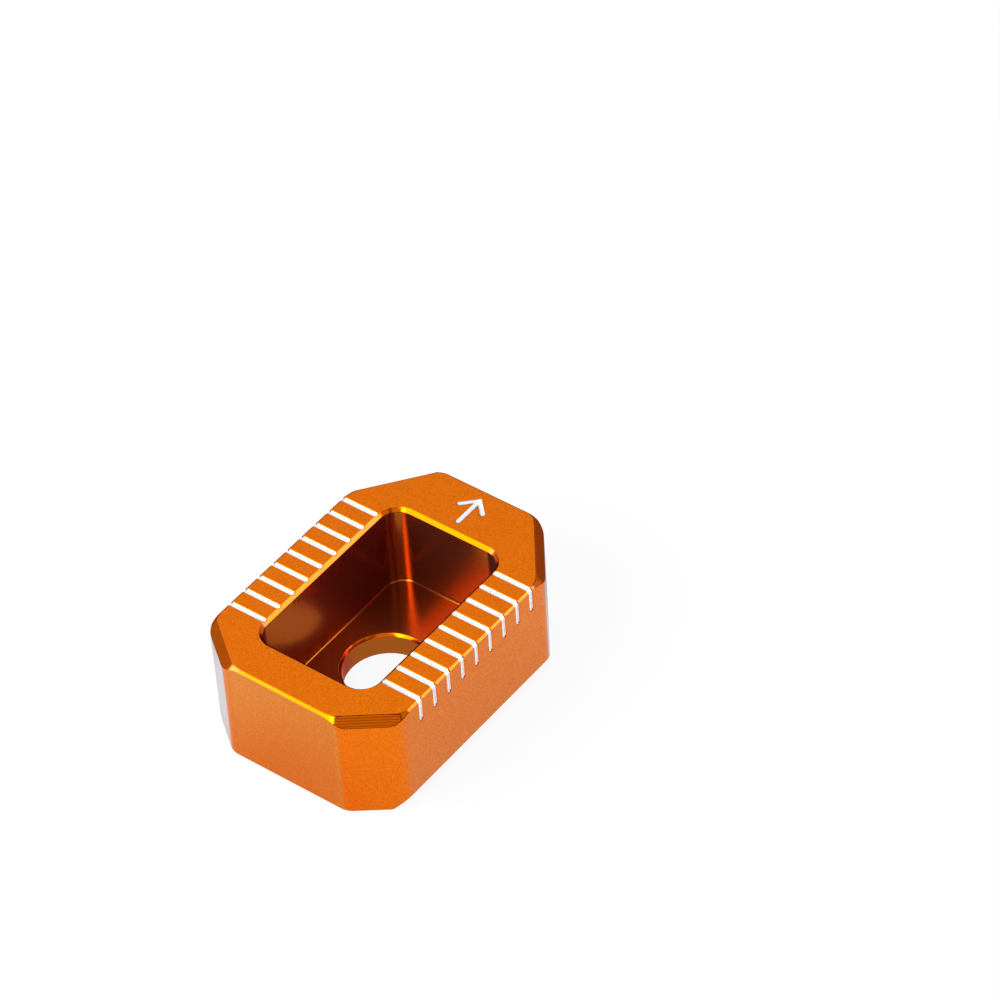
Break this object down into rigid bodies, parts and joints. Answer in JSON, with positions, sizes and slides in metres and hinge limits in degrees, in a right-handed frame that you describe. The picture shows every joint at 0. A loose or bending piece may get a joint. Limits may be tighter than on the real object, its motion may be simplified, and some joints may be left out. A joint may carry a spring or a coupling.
{
  "type": "chain adjuster axle block",
  "caption": "Machined block with cut corners, a pocket for the axle's head, an axle bore in the pocket floor and an engraved scale along both sides.",
  "frame": {"origin": "on the axle bore's axis, at the back face that bears on the swingarm", "axes": "+Z along the axle, out of the pocket's mouth; +X along the slot, towards the long end; +Y across the slot"},
  "size_m": [0.0755, 0.053, 0.0282],
  "materials": {
    "anodised_aluminium": "satin bead-blasted, anodised orange, the engraving bare"
  },
  "bodies": {
    "root": {"axle_block": "anodised_aluminium"}
  },
  "joints": []
}
